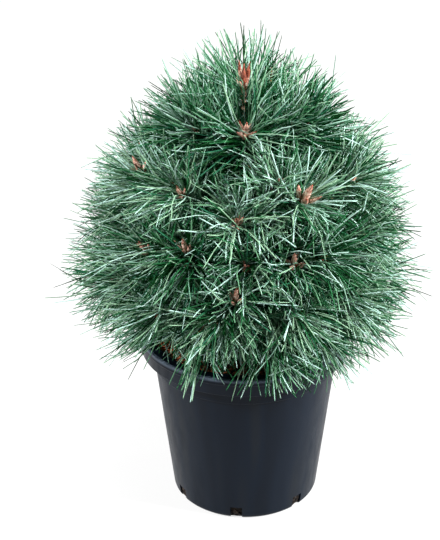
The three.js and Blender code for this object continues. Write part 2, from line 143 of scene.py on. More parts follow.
# Where along a needle its rings stand, and how wide they are.
NEEDLE_RINGS = ((0.0, 0.8), (0.34, 1.0), (0.68, 1.0), (0.97, 0.72))
GOLDEN_ANGLE = 137.508

# Young needles are paler, whole sprays lean either way by their numbers, and a few old needles are dry.
TINT = Named(age=1.5, lean=0.35, dry_rank=0.22, dry_share=0.035)

# The crown's outline: how far tips reach from its middle at each height, and how short needles may be cut.
OUTLINE = Named(
    heights=(0.25, 0.30, 0.36, 0.42, 0.50, 0.56, 0.62, 0.66, 0.69, 0.725, 0.757, 0.785, 0.808, 0.82),
    radii=(0.170, 0.240, 0.291, 0.301, 0.294, 0.279, 0.246, 0.203, 0.170, 0.148, 0.121, 0.098, 0.045, 0.0),
    spread=(0.87, 1.08),
    shortest=0.64,
)

# Few needles hang below the rim, save those of these shoots.
OVERHANG = Named(level=0.307, lowest=0.262, kept=0.22, bunches=(0, 5, 8), bunch_kept=0.7)

# Bud clusters: one bud in the middle and others at its sides. Those that the needles hide are smaller.
BUD_SHARE = {"skirt": 0.45, "low": 0.85, "middle": 1.0, "upper": 1.1, "top": 1.1}
BUD = Named(
    length=0.030, radius=0.0047, sunk=0.003, variation=(0.92, 1.08), sides=(3, 5),
    side_angle=(24, 42), side_length=(0.6, 0.95), side_radius=(0.7, 0.9), side_drop=(0.001, 0.005),
    side_out=0.7, lift=0.7, scale=(0.8, 1.15), ripe=(-0.1, 0.12), hidden_scale=0.5,
    hidden_ripe=0.25,
)
TWIG_BUD = Named(scale=(0.34, 0.46), sides=2, ripe=0.35, shown_sides=4)

# The leader's buds stand apart like candles. turn and lean are degrees, and the riper a bud, the redder.
LEADER_BUD_OUT = 0.0022
LEADER_BUDS = table(
    "turn lean length radius ripe drop",
    (-95, 7, 0.044, 0.0036, 0.32, 0.002),
    (85, 15, 0.043, 0.0042, 0.48, 0.002),
    (20, 4, 0.030, 0.0052, 0.62, 0.002),
    (170, 12, 0.036, 0.0042, 0.30, 0.002),
    (-35, 26, 0.018, 0.0034, -0.28, 0.005),
    (48, 28, 0.016, 0.0034, -0.28, 0.005),
    (240, 30, 0.020, 0.0034, -0.2, 0.005),
)

# The clusters that stand clear of the needles in the photograph, by the numbers of their shoots and twigs.
# end is where the shoot's tip has to be, if its rule leaves it elsewhere.
SHOWN_BUDS = keyed(
    "number scale lift end",
    (46, 1.00, 0.8, (0.001, -0.096, 0.680)),
    (37, 1.35, 0.8, (0.0875, -0.141, 0.593)),
    (36, 0.80, 0.4, (-0.012, -0.168, 0.5665)),
    (24, 0.50, 0.1, None),
    (45, 0.70, 0.5, (-0.096, -0.123, 0.595)),
    (34, 0.85, 0.8, (-0.151, -0.121, 0.501)),
    (50.6, 0.45, 0.2, None),
)

# More twigs that end in such clusters. Each leaves its shoot at start, a share of the shoot's length.
SHOWN_TWIGS = table(
    "shoot start end scale lift",
    (44, 0.45, (-0.163, -0.042, 0.600), 1.10, 0.6),
    (35, 0.50, (-0.089, -0.169, 0.527), 0.90, 0.5),
    (12, 0.35, (-0.0135, -0.219, 0.468), 0.95, 0.6),
    (37, 0.40, (0.050, -0.125, 0.616), 0.50, 0.4),
    (25, 0.40, (0.073, -0.187, 0.510), 1.05, 0.8),
)

# Where the needles part: before the leader, before those clusters, and where rim and soil show through them.
# reach is how far each opening goes out towards the viewer, and cleared the share of needles left out of it.
PARTING = Named(half_width=(0.003, 0.0075), low=0.665, high=0.765, near=-0.004, far=-0.1)
BUD_CLEARING = Named(radius=0.0045, per_scale=0.0085, reach=0.20, cleared=0.93)
RIM_GLIMPSES = Named(turns=(-62, -56, -50, -44), height=0.296, radius=0.010, reach=0.27, cleared=0.88)
GLIMPSES = table(
    "place radius",
    ((-0.134, -0.045, 0.288), 0.014),
    ((-0.106, -0.098, 0.288), 0.010),
    ((-0.060, -0.128, 0.288), 0.014),
    ((-0.016, -0.128, 0.288), 0.013),
    ((0.022, -0.128, 0.288), 0.010),
)
GLIMPSE = Named(
    reach=0.27, cleared=0.82, chips=7, spread=0.010, chip_length=(0.014, 0.024), heap=0.0012,
)

# The stage, and the photograph's view.
FLOOR = Named(colour=(0.15, 0.15, 0.149), roughness=0.8, specular=0.1, glow=0.79)
WORLD = Named(colour=(0.95, 0.97, 1.0, 1), strength=0.04)
LIGHTS = table(
    "name place target size power spread",
    ("key", (-2.5, -1.0, 2.35), (0, 0, 0.45), (0.5, 0.5), 188, 180),
    ("fill", (2.65, -0.95, 2.15), (0, 0, 0.45), (0.5, 0.5), 325, 180),
    ("top", (0, -0.4, 3.0), (0, 0, 0.5), (1.2, 1.2), 42, 180),
    ("backdrop", (0, 3.6, 3.0), (0, 4.4, 0), (6.0, 4.5), 130, 130),
    ("strip_left", (-1.9, 0.6, 0.5), (0, 0, 0.15), (0.25, 1.0), 13, 180),
    ("strip_right", (1.9, 0.8, 0.5), (0, 0, 0.15), (0.35, 1.0), 13, 180),
)
CAMERA = Named(place=(0, -1.978, 1.380), pitch=26.18, lens=89.67, sensor=36, shift_x=-0.04657)

UP = np.array([0.0, 0.0, 1.0])
AXIS_X = np.array([1.0, 0.0, 0.0])


# Small helpers on rows of vectors.
def unit(vectors):
    return vectors / np.maximum(np.linalg.norm(vectors, axis=-1, keepdims=True), 1e-12)


def dot(a, b):
    return np.sum(a * b, axis=-1, keepdims=True)


def mix(a, b, share):
    return a + (b - a) * share


def wander(n):
    return sin(n * 2.4 + 0.7) * cos(n * 0.91)


def around(turn, radius, height):
    angle = radians(turn)
    return np.array([radius * sin(angle), -radius * cos(angle), height])


def shoot_aim(turn, rise):
    lift = radians(rise)
    return around(turn, cos(lift), sin(lift))


def bezier(a, b, c, steps=40):
    t = np.linspace(0, 1, steps + 1)[:, None]
    return (1 - t) ** 2 * a + 2 * t * (1 - t) * b + t**2 * c


def catmull_rom(points, steps=60):
    """The centripetal curve through the points, as dense points."""
    points = np.array(points, dtype=float)
    ends = [2 * points[0] - points[1], *points, 2 * points[-1] - points[-2]]
    line = []
    for p0, p1, p2, p3 in zip(ends, ends[1:], ends[2:], ends[3:]):
        d0, d1, d2 = (sqrt(np.linalg.norm(b - a)) for a, b in ((p0, p1), (p1, p2), (p2, p3)))
        m1 = ((p1 - p0) / d0 - (p2 - p0) / (d0 + d1) + (p2 - p1) / d1) * d1
        m2 = ((p2 - p1) / d1 - (p3 - p1) / (d1 + d2) + (p3 - p2) / d2) * d1
        t = np.linspace(0, 1, steps, endpoint=False)[:, None]
        square = -3 * p1 + 3 * p2 - 2 * m1 - m2
        cube = 2 * p1 - 2 * p2 + m1 + m2
        line.append(p1 + m1 * t + square * t**2 + cube * t**3)
    return np.vstack([*line, points[-1]])


# A smooth noise made of a few turned sine waves, from about -1 to 1.
def ripple(points, scale, seed):
    rng = np.random.default_rng(seed)
    total = np.zeros(len(points))
    for _ in range(7):
        wave = unit(rng.normal(size=3)) * rng.uniform(0.6, 1.7) / scale
        total += np.sin(points @ wave * 2 * pi + rng.uniform(0, 2 * pi))
    return total / 3.2


class Path:
    """A line through dense points, measured along its length."""

    def __init__(self, points):
        self.points = points
        steps = np.linalg.norm(np.diff(points, axis=0), axis=1)
        self.marks = np.concatenate([[0.0], np.cumsum(steps)])
        self.length = float(self.marks[-1])

    def at(self, distance):
        return np.stack([np.interp(distance, self.marks, self.points[:, k]) for k in range(3)], axis=-1)

    def along(self, distance):
        reach = 0.015 * self.length
        ahead = self.at(np.minimum(distance + reach, self.length))
        return unit(ahead - self.at(np.maximum(distance - reach, 0)))

    def frames(self, distance):
        """Places, and the directions along, across and over the line there."""
        along = self.along(distance)
        chord = self.points[-1] - self.points[0]
        side = AXIS_X if abs(unit(chord)[2]) > 0.8 else UP
        across = unit(side - along * dot(along, side))
        return self.at(distance), along, across, np.cross(across, along)


class Soup:
    """The vertices and faces of many small things, joined into one mesh."""

    def __init__(self):
        self.vertices = []
        self.faces = []
        self.slots = []
        self.count = 0

    def add(self, vertices, *groups):
        """Vertices, and groups of faces on them, each with its material slots."""
        for faces, slots in groups:
            self.faces.append(faces + self.count)
            self.slots.append(np.full(len(faces), slots, dtype=np.int32))
        self.vertices.append(vertices.astype(np.float32))
        self.count += len(vertices)

    def add_closed(self, vertices, rings, sides, slot=0):
        """A skin over rings of vertices, closed at its ends by the two vertices that follow them."""
        foot = fan(0, rings * sides, sides)[:, [1, 0, 2]]
        head = fan((rings - 1) * sides, rings * sides + 1, sides)
        self.add(vertices, (ring_faces(rings, sides), slot), (np.vstack([foot, head]), slot))

    def make(self, name, materials, slot, replaced=()):
        vertices = np.concatenate(self.vertices)
        corners = np.concatenate([faces.ravel() for faces in self.faces])
        sizes = np.concatenate([np.full(len(faces), faces.shape[1]) for faces in self.faces])
        starts = np.concatenate([[0], np.cumsum(sizes)[:-1]])
        mesh = bpy.data.meshes.new(name)
        mesh.vertices.add(len(vertices))
        mesh.vertices.foreach_set("co", vertices.ravel())
        mesh.loops.add(len(corners))
        mesh.loops.foreach_set("vertex_index", corners.astype(np.int32))
        mesh.polygons.add(len(starts))
        mesh.polygons.foreach_set("loop_start", starts.astype(np.int32))
        mesh.polygons.foreach_set("material_index", np.concatenate(self.slots))
        mesh.update(calc_edges=True)
        mesh.validate()
        mesh.shade_smooth()
        for material in materials:
            mesh.materials.append(material)
        piece = add_object(name, mesh)
        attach(piece, "root")
        if replaced:
            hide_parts(*replaced)
        return piece


def add_object(name, data):
    thing = bpy.data.objects.new(name, data)
    scene.collection.objects.link(thing)
    return thing


def ring_faces(rings, sides):
    """Faces of a grid of rings, each closed on itself."""
    ring, side = np.meshgrid(np.arange(rings - 1), np.arange(sides), indexing="ij")
    a = ring * sides + side
    b = ring * sides + (side + 1) % sides
    return np.stack([a, b, b + sides, a + sides], axis=-1).reshape(-1, 4)


def fan(first, middle, sides):
    """Faces from the ring of vertices that starts at first to the vertex in its middle."""
    ring = np.arange(sides)
    return np.stack([ring + first, (ring + 1) % sides + first, np.full(sides, middle)], axis=-1)


def add_tube(soup, path, distances, radius, sides, relief=None, slot=0):
    """A tube with closed ends. relief gives each vertex's extra radius from its place on the plain tube."""
    at, along, across, over = path.frames(distances)
    angle = np.arange(sides) * 2 * pi / sides
    outward = across[:, None] * np.cos(angle)[None, :, None] - over[:, None] * np.sin(angle)[None, :, None]
    plain = at[:, None] + outward * np.full(len(distances), radius)[:, None, None]
    if relief is not None:
        extra = relief(plain.reshape(-1, 3), np.repeat(distances, sides), np.tile(angle, len(distances)))
        plain = plain + outward * extra.reshape(len(distances), sides, 1)
    soup.add_closed(np.vstack([plain.reshape(-1, 3), at[0], at[-1]]), len(distances), sides, slot)


# Materials.
def shader(name, base, roughness, specular):
    material = bpy.data.materials.new(name)
    material.use_nodes = True
    bsdf = material.node_tree.nodes["Principled BSDF"]
    bsdf.inputs["Base Color"].default_value = (*base, 1)
    bsdf.inputs["Roughness"].default_value = roughness
    bsdf.inputs["Specular IOR Level"].default_value = specular
    return material, material.node_tree, bsdf


def add_node(tree, kind, output, inputs, **settings):
    """Adds a node and gives one output of it. Each input is a value, or the output that it is linked to."""
    node = tree.nodes.new("ShaderNode" + kind)
    for key, value in settings.items():
        setattr(node, key, value)
    for key, value in inputs.items():
        if isinstance(value, bpy.types.NodeSocket):
            tree.links.new(value, node.inputs[key])
        else:
            node.inputs[key].default_value = value
    return node.outputs[output]


def object_place(tree, stretch=(1, 1, 1)):
    place = add_node(tree, "TexCoord", "Object", {})
    return add_node(tree, "Mapping", "Vector", {"Vector": place, "Scale": stretch})


def noise(tree, place, scale, detail, roughness=0.5):
    inputs = {"Vector": place, "Scale": scale, "Detail": detail, "Roughness": roughness}
    return add_node(tree, "TexNoise", "Fac", inputs)


def ramp(tree, source, stops):
    """A colour ramp. Each stop is (position, colour)."""
    output = add_node(tree, "ValToRGB", "Color", {"Fac": source})
    elements = output.node.color_ramp.elements
    while len(elements) < len(stops):
        elements.new(0.5)
    for element, (position, colour) in zip(elements, stops):
        element.position = position
        element.color = (*colour, 1)
    return output


def share_between(tree, source, low, high):
    return add_node(tree, "MapRange", "Result", {"Value": source, "From Min": low, "From Max": high})


def times(tree, a, b):
    return add_node(tree, "Math", "Value", {0: a, 1: b}, operation="MULTIPLY")


def grey(value):
    return (value, value, value)


def add_bump(tree, bsdf, height, distance, strength=1.0):
    inputs = {"Height": height, "Strength": strength, "Distance": distance}
    tree.links.new(add_node(tree, "Bump", "Normal", inputs), bsdf.inputs["Normal"])


def darker(colour, share):
    return tuple(channel * share for channel in colour)


def speckle(tree, socket, place, scale, detail, grain, stops):
    """Noise through a colour ramp into a socket. Gives back the noise, for a bump."""
    source = noise(tree, place, scale, detail, grain)
    tree.links.new(ramp(tree, source, stops), socket)
    return source


def needle_material(name, colour):
    """Waxy blue-green, a little mottled from sprig to sprig, and duller where it is deep green."""
    roughness = 0.39
    gloss = mix(0.05, 0.17, min(colour[1] / 0.5, 1))
    material, tree, bsdf = shader(name, colour, roughness, gloss)
    place = object_place(tree)
    mottle = [(0.3, darker(colour, 0.82)), (0.7, darker(colour, 1.16))]
    speckle(tree, bsdf.inputs["Base Color"], place, 45.0, 2.0, 0.5, mottle)
    wax = [(0.3, grey(roughness - 0.08)), (0.7, grey(roughness + 0.14))]
    speckle(tree, bsdf.inputs["Roughness"], place, 160.0, 2.0, 0.5, wax)
    return material


# Flecked materials: how the flecks are stretched and sized, how deep they are raised, and at which values of
# the noise they are dark, middling and light.
FLECKS = keyed(
    "kind roughness specular stretch scale detail grain depth stops",
    ("bark", 0.85, 0.25, 0.35, 90.0, 6.0, 0.62, 0.002, (0.32, 0.5, 0.68)),
    ("young_bark", 0.85, 0.25, 0.35, 260.0, 6.0, 0.62, 0.001, (0.32, 0.5, 0.68)),
    ("scarred_bark", 0.85, 0.25, 0.8, 260.0, 6.0, 0.62, 0.001, (0.43, 0.5, 0.57)),
    ("bud", 0.5, 0.4, 1, 420.0, 3.0, 0.5, 0.0004, (0.35, 0.5, 0.65)),
    ("soil", 0.95, 0.2, 1, 190.0, 8.0, 0.7, 0.003, (0.35, 0.6, 0.8)),
    ("chip", 0.8, 0.3, 4, 120.0, 6.0, 0.65, 0.0012, (0.3, 0.55, 0.75)),
)


def flecked(kind, *rows):
    """One material for each row of name, dark and light."""
    look = FLECKS[kind]
    materials = []
    for name, dark, light in rows:
        material, tree, bsdf = shader(name, light, look.roughness, look.specular)
        place = object_place(tree, (1, 1, look.stretch))
        middle = [mix(x, y, 0.5) for x, y in zip(dark, light)]
        stops = list(zip(look.stops, (dark, middle, light)))
        size = (look.scale, look.detail, look.grain)
        flecks = speckle(tree, bsdf.inputs["Base Color"], place, *size, stops)
        add_bump(tree, bsdf, flecks, look.depth)
        materials.append(material)
    return materials


def pot_material():
    """Satin moulded plastic, blue-black, with soft bands down the wall, a painted highlight along the rim's
    top edge and a fine grain.
    """
    base = (0.0026, 0.0062, 0.0130)
    palest = (0.0052, 0.0080, 0.0125)
    # The pale blue-grey of a painted highlight, laid on the rim's top edge as if it were lit.
    painted_rim_highlight = (0.080, 0.105, 0.140)
    material, tree, bsdf = shader("pot_plastic_satin", base, 0.34, 0.10)
    place = object_place(tree)
    height = add_node(tree, "SeparateXYZ", "Z", {"Vector": place})
    out = add_node(tree, "VectorMath", "Value", {0: object_place(tree, (1, 1, 0))}, operation="LENGTH")
    # Where the painted highlight goes: the top few millimetres of the rim near its outer edge, broken into
    # patches.
    top = share_between(tree, height, POT_TOP - 0.0060, POT_TOP - 0.0025)
    edge = share_between(tree, out, RIM_RADIUS - 0.0058, RIM_RADIUS - 0.0038)
    patches = ramp(tree, noise(tree, place, 60.0, 4.0, 0.6), [(0.2, grey(0.6)), (0.7, grey(1.0))])
    bands = [(0.38, darker(base, 0.75)), (0.56, base), (0.72, palest)]
    inputs = {
        "Factor": times(tree, times(tree, top, edge), patches),
        "A": ramp(tree, noise(tree, object_place(tree, (1, 1, 0.03)), 26.0, 1.0), bands),
        "B": (*painted_rim_highlight, 1),
    }
    blend = add_node(tree, "Mix", "Result", inputs, data_type="RGBA")
    tree.links.new(blend, bsdf.inputs["Base Color"])
    scuffs = [(0.3, grey(0.3)), (0.75, grey(0.5))]
    speckle(tree, bsdf.inputs["Roughness"], object_place(tree, (1, 1, 0.3)), 70.0, 5.0, 0.6, scuffs)
    add_bump(tree, bsdf, noise(tree, place, 900.0, 3.0), 0.00025, 0.5)
    return material


# The needles' colours from palest to deepest, for the waxy inner face and for the green back.
WAXY_TINTS = [(0.355, 0.54, 0.48), (0.35, 0.515, 0.45), (0.175, 0.320, 0.242), (0.015, 0.092, 0.047)]
GREEN_TINTS = [(0.20, 0.34, 0.22), (0.092, 0.212, 0.118), (0.013, 0.088, 0.030), (0.0011, 0.026, 0.0042)]
DRY_TINT = (0.27, 0.165, 0.075)
SHADES = len(WAXY_TINTS)
DRY = 2 * SHADES
WAXY_SHARE = 0.76


# The pot.
def wall_radius(height):
    return mix(POT.base_radius, POT.top_radius, height / POT_TOP)


def inner_radius(height):
    return wall_radius(height) - POT.wall


def arc(centre, radius, start, end, steps=5):
    """Points on an arc, with angles in degrees from outward to up."""
    angles = np.radians(np.linspace(start, end, steps + 1))
    return [(centre[0] + radius * cos(a), centre[1] + radius * sin(a)) for a in angles]


def pot_profile():
    """From the middle of the base up the wall, over the collar and rim, and down the inside."""
    corner = POT.corner
    edge = POT.round
    lip = POT.lip
    collar = wall_radius(POT.collar_foot) + POT.collar_out
    skirt_inside = RIM_RADIUS - POT.rim_wall
    under_rim = POT_TOP - POT.rim_wall
    return [
        (0.0, 0.0),
        (0.5 * POT.base_radius, 0.0),
        *arc((wall_radius(corner) - corner, corner), corner, -90, 0, 8),
        *((wall_radius(h), h) for h in np.linspace(0.02, POT.collar_foot, 14)),
        *arc((collar - edge, POT.collar_foot + 2 * edge), edge, -60, 0),
        (collar + 0.001, POT.rim_foot - 0.008),
        (collar + 0.002, POT.rim_foot),
        (wall_radius(under_rim), under_rim),
        (skirt_inside - 0.001, under_rim),
        (skirt_inside - 0.002, POT.rim_foot + edge),
        *arc((RIM_RADIUS - 0.002 - edge, POT.rim_foot + edge), edge, -150, 0),
        (RIM_RADIUS - 0.0016, POT_TOP - 0.012),
        (RIM_RADIUS - 0.0012, POT_TOP - 0.0105),
        (RIM_RADIUS - 0.0002, POT_TOP - 0.0095),
        *arc((RIM_RADIUS - lip, POT_TOP - lip), lip, 0, 90, 8),
        *arc((inner_radius(POT_TOP) + 2 * edge, POT_TOP - 2 * edge), 2 * edge, 90, 180, 6),
        *((inner_radius(h), h) for h in np.linspace(POT_TOP - 0.006, 0.02, 8)),
        (inner_radius(POT.floor) - corner, POT.floor),
        (0.0, POT.floor),
    ]


def turned_soup(profile, sides):
    """A closed solid of revolution whose profile starts and ends on the axis."""
    soup = Soup()
    angle = np.arange(sides) * 2 * pi / sides
    rings = [(r * np.sin(angle), -r * np.cos(angle), np.full(sides, h)) for r, h in profile[1:-1]]
    body = np.stack([np.stack(ring, axis=-1) for ring in rings]).reshape(-1, 3)
    ends = [(0, 0, profile[0][1]), (0, 0, profile[-1][1])]
    soup.add_closed(np.vstack([body, *ends]), len(rings), sides)
    return soup


def cut_drains(pot):
    """Ragged notches through the corner of the pot's base."""
    for turn in DRAIN_TURNS:
        place = around(turn, POT.base_radius + 0.001, 0)
        bpy.ops.mesh.primitive_cube_add(size=1, location=place, rotation=(0, 0, radians(turn)))
        cutter = bpy.context.object
        cutter.scale = (DRAIN.width, 2 * DRAIN.depth, 2 * DRAIN.height)
        bevel = cutter.modifiers.new("corners", "BEVEL")
        bevel.width = DRAIN.bevel
        bevel.segments = 3
        boolean = pot.modifiers.new("drain", "BOOLEAN")
        boolean.operation = "DIFFERENCE"
        boolean.solver = "EXACT"
        boolean.object = cutter
        bpy.context.view_layer.objects.active = pot
        bpy.ops.object.modifier_apply(modifier=boolean.name)
        bpy.data.objects.remove(cutter)


def make_pot():
    pot = turned_soup(pot_profile(), POT.sides).make("pot_shell", [pot_material()], "pot_plastic", ["pot"])
    cut_drains(pot)
    pot.data.set_sharp_from_angle(angle=radians(38))


# The soil fills the pot, with crumbs and bark chips on top.
def soil_height(x, y):
    radius = np.hypot(x, y)
    rough = np.clip((radius - SOIL.flat_radius) / 0.04, 0, 1)
    places = np.stack([x, y, np.zeros_like(x)], axis=-1)
    mounds = ripple(places, 0.09, 3) * 0.5 - 0.5
    crumbs = ripple(places, 0.013, 4) * 0.0011 + ripple(places, 0.006, 5) * 0.0007
    return SOIL.level + rough * (SOIL.mound * mounds + crumbs)


def make_soil():
    edge = inner_radius(SOIL.level) - SOIL.gap
    low = POT.floor + 0.0003
    corner = POT.floor + POT.corner
    profile = [
        (0.0, low),
        (inner_radius(0) - POT.corner - 0.001, low),
        (inner_radius(corner) - 0.001, corner),
        *((inner_radius(h) - SOIL.gap, h) for h in np.linspace(0.06, SOIL.level - 0.008, 8)),
        *((edge * share, SOIL.level) for share in np.linspace(1, 0.02, SOIL.rings)),
        (0.0, SOIL.level),
    ]
    soup = turned_soup(profile, SOIL.spokes)
    vertices = soup.vertices[0]
    top = vertices[:, 2] > SOIL.level - 0.001
    vertices[top, 2] = soil_height(vertices[top, 0].astype(float), vertices[top, 1].astype(float))
    peat = flecked("soil", ("potting_soil_peat", (0.004, 0.0035, 0.003), (0.030, 0.020, 0.012)))
    soup.make("soil_bed", peat, "potting_soil", ["soil"])


def add_chip(soup, place, length, rng, slot, raised):
    """A flat splinter of bark that lies on the soil, or raised above it on others."""
    sides = 7
    width = length * rng.uniform(*CHIPS.slimness)
    thick = rng.uniform(*CHIPS.thick)
    angle = (np.arange(sides) + rng.uniform(-0.3, 0.3, sides)) * 2 * pi / sides
    rim = np.stack([0.5 * length * np.cos(angle), 0.5 * width * np.sin(angle)], axis=-1)
    layers = []
    for share, height in CHIPS.layers:
        layer = np.column_stack([rim * share, np.full(sides, height * thick)])
        layer[:, 2] += rng.normal(0, 0.12 * thick, sides)
        layers.append(layer)
    body = np.vstack([*layers, (0, 0, -0.5 * thick), (0, 0, 0.5 * thick)])
    spin = rng.uniform(0, 2 * pi)
    tip = rng.normal(0, CHIPS.tilt)
    up = np.array([rng.normal(0, CHIPS.tilt), tip, 1.0])
    x_axis = unit(np.array([cos(spin), sin(spin), tip]))
    z_axis = unit(up - x_axis * dot(up, x_axis))
    turn = np.stack([x_axis, np.cross(z_axis, x_axis), z_axis])
    base = soil_height(place[:1], place[1:2])[0] + 0.3 * thick + rng.uniform(0, 0.002) + raised
    soup.add_closed(body @ turn + np.array([place[0], place[1], base]), len(layers), sides, slot)


def make_chips():
    """Splinters of bark, scattered over the soil and heaped where it shows."""
    rng = np.random.default_rng(21)
    materials = flecked(
        "chip",
        ("bark_chip_orange", (0.30, 0.055, 0.020), (0.72, 0.25, 0.11)),
        ("bark_chip_brown", (0.08, 0.026, 0.012), (0.36, 0.135, 0.060)),
        ("bark_chip_tan", (0.17, 0.068, 0.030), (0.56, 0.29, 0.155)),
    )
    soup = Soup()
    limit = inner_radius(SOIL.level) - 0.004
    for _ in range(CHIPS.count):
        length = mix(*CHIPS.length, rng.random() ** 2)
        distance = mix(CHIPS.nearest, limit - 0.5 * length, sqrt(rng.random()))
        place = around(rng.uniform(0, 360), distance, 0)
        slot = int(rng.choice(3, p=CHIPS.colour_shares))
        add_chip(soup, place, length, rng, slot, 0.0)
    for glimpse in GLIMPSES:
        for index in range(GLIMPSE.chips):
            place = np.array(glimpse.place) + rng.normal(0, GLIMPSE.spread, 3)
            length = rng.uniform(*GLIMPSE.chip_length)
            add_chip(soup, place, length, rng, int(index % 4 == 3), GLIMPSE.heap * index)
    soup.make("bark_chips", materials, "potting_soil")


def add_crumb(soup, centre, size, rng, slot):
    """A lump with a few faces."""
    corners = np.array([(1, 0, 0), (0, 1, 0), (-1, 0, 0), (0, -1, 0)], dtype=float)
    low = corners + rng.normal(0, 0.18, (4, 3)) - (0, 0, 0.35)
    high = 0.8 * corners + rng.normal(0, 0.18, (4, 3)) + (0, 0, 0.45)
    body = np.vstack([low, high, (0, 0, -0.95), (0, 0, 1.0)]) * size * rng.uniform(0.7, 1.3, 3)
    soup.add_closed(centre + body, 2, 4, slot)


def make_drain_soil():
    """Crumbs and fine roots that fill the drain notches."""
    rng = np.random.default_rng(13)
    materials = flecked(
        "chip",
        ("drain_soil_black", (0.0008, 0.0007, 0.0006), (0.0032, 0.0024, 0.0019)),
        ("drain_crumb_brown", (0.0012, 0.0008, 0.0006), (0.0075, 0.0030, 0.0019)),
        ("drain_root_tan", (0.008, 0.005, 0.0035), (0.042, 0.027, 0.018)),
    )
    soup = Soup()
    spread = degrees(DRAIN.width / POT.base_radius)
    for turn in DRAIN_TURNS:
        for _ in range(PLUG.crumbs):
            side = turn + spread * rng.uniform(-0.52, 0.52)
            height = DRAIN.height * rng.uniform(0.12, 0.95)
            size = rng.uniform(*PLUG.size)
            inward = 0.3 * max(POT.corner - height, 0)
            out = POT.base_radius - PLUG.depth - rng.uniform(0, 0.003) - inward
            place = around(side, out, max(height, 1.6 * size))
            add_crumb(soup, place, size, rng, int(rng.random() < 0.2))
        for _ in range(PLUG.roots):
            sides = turn + spread * rng.uniform(-0.5, 0.5, 4)
            heights = DRAIN.height * np.sort(rng.uniform(0.15, 0.95, 4))
            outs = POT.base_radius - 0.45 * PLUG.depth - 0.3 * np.maximum(POT.corner - heights, 0)
            path = Path(catmull_rom([around(*spot) for spot in zip(sides, outs, heights)], 8))
            thick = rng.uniform(*PLUG.root_radius)
            add_tube(soup, path, np.linspace(0, path.length, 22), thick, 6, slot=2)
    soup.make("drain_soil", materials, "potting_soil")


# The limbs, by the source's rule.
trunk_path = Path(catmull_rom([
    (0, 0, TRUNK_FOOT - 0.004),
    (0.6 * TRUNK.lean, 0.4 * TRUNK.lean, TRUNK_FOOT + 0.12),
    (TRUNK.lean, -0.5 * TRUNK.lean, TRUNK_FOOT + 0.25),
    (0, 0, TRUNK_TOP),
]))


def trunk_point(height):
    share = (height - TRUNK_FOOT) / (TRUNK_TOP - TRUNK_FOOT)
    return trunk_path.at(min(max(share, 0), 1) * trunk_path.length)


def stem(path, aim, number, whorl, plan=None):
    """A shoot or twig. Its bud stands at the end of its path."""
    bud = path.points[-1]
    return Named(path=path, bud=bud, aim=aim, number=number, whorl=whorl, plan=plan)


def make_shoot(whorl, bough_turn, shoot_index, fork, number):
    sideways = shoot_index - (whorl.shoots - 1) / 2
    turn = bough_turn + sideways * whorl.spread + WANDER.turn * wander(number)
    radius = whorl.bud_radius + WANDER.radius * wander(number + 0.37)
    height = whorl.bud_height + WANDER.height * wander(number + 0.71)
    aim = shoot_aim(turn, whorl.rise + WANDER.rise * wander(number + 0.53))
    bud = around(turn, radius, height) + AXIS_X * whorl.sway
    if number in SHOWN_BUDS and SHOWN_BUDS[number].end:
        bud = np.array(SHOWN_BUDS[number].end)
    path = Path(bezier(fork, bud - aim * BEND_SHARE * whorl.reach, bud))
    return stem(path, aim, number, whorl.name)


def make_branch(whorl, index, number):
    turn = whorl.turn + index * 360 / whorl.count
    gather = BOUGH.gather if whorl.shoots > 1 else 1
    middle = around(turn, whorl.bud_radius * gather, whorl.bud_height) + AXIS_X * whorl.sway
    fork = middle - shoot_aim(turn, whorl.fork_rise) * whorl.reach
    root = trunk_point(whorl.foot + BOUGH.stagger * (1 if index % 2 else -1))
    leave = root + shoot_aim(turn, BOUGH.lift) * 0.45 * np.linalg.norm(fork - root)
    shoots = [make_shoot(whorl, turn, i, fork, number + i) for i in range(whorl.shoots)]
    name = f"{whorl.name}_{index + 1}"
    return Named(name=name, whorl=whorl.name, bough=Path(bezier(root, leave, fork)), shoots=shoots)


def make_branches():
    branches = []
    number = 0
    for whorl in WHORLS:
        for index in range(whorl.count):
            branches.append(make_branch(whorl, index, number))
            number += whorl.shoots
    foot = np.array([0, 0, TRUNK_TOP])
    bud = np.array([LEADER.lean, 0, LEADER.bud_height])
    shoot = stem(Path(bezier(foot, (foot + bud) / 2, bud)), UP, number, "leader")
    branches.append(Named(name="leader", whorl="top", bough=None, shoots=[shoot]))
    return branches


# A twig's number is its shoot's with a fraction.
def make_twig(shoot, points, number, plan=None):
    path = Path(bezier(*points, 16))
    return stem(path, path.along(np.array([path.length]))[0], number, shoot.whorl, plan)


def shown_twig(shoot, plan):
    """A twig that bends up from its shoot to a cluster that shows."""
    at = shoot.path.at(plan.start * shoot.path.length)
    end = np.array(plan.end)
    bend = mix(at, end, 0.5) + (shoot.aim - UP) * 0.15 * np.linalg.norm(end - at)
    return make_twig(shoot, (at, bend, end), shoot.number + 0.9, plan)


def side_twig(shoot, index, rng):
    """A twig that springs from its shoot near the fork."""
    start = TWIG.starts[index] * shoot.path.length
    at, along, across, over = (row[0] for row in shoot.path.frames(np.array([start])))
    hand = 1 if (index + shoot.number) % 2 else -1
    yaw = radians(hand * rng.uniform(*TWIG.yaw))
    pitch = radians(rng.uniform(-1, 1) * TWIG.pitch + TWIG.tilts[index])
    aim = unit(along * cos(yaw) + over * sin(yaw) + across * sin(pitch))
    length = rng.uniform(*TWIG.length)
    bend = at + aim * 0.5 * length
    end = bend + unit(aim + TWIG.upturn * UP) * 0.5 * length
    return make_twig(shoot, (at, bend, end), shoot.number + 0.3 + 0.3 * index)


def make_twigs(branch, rng):
    twigs = []
    for shoot in branch.shoots:
        if shoot.whorl == "leader":
            continue
        twigs += [shown_twig(shoot, plan) for plan in SHOWN_TWIGS if plan.shoot == shoot.number]
        twigs += [side_twig(shoot, index, rng) for index in range(len(TWIG.starts))]
    return twigs


branches = make_branches()
twig_rng = np.random.default_rng(5)
for branch in branches:
    branch.twigs = make_twigs(branch, twig_rng)


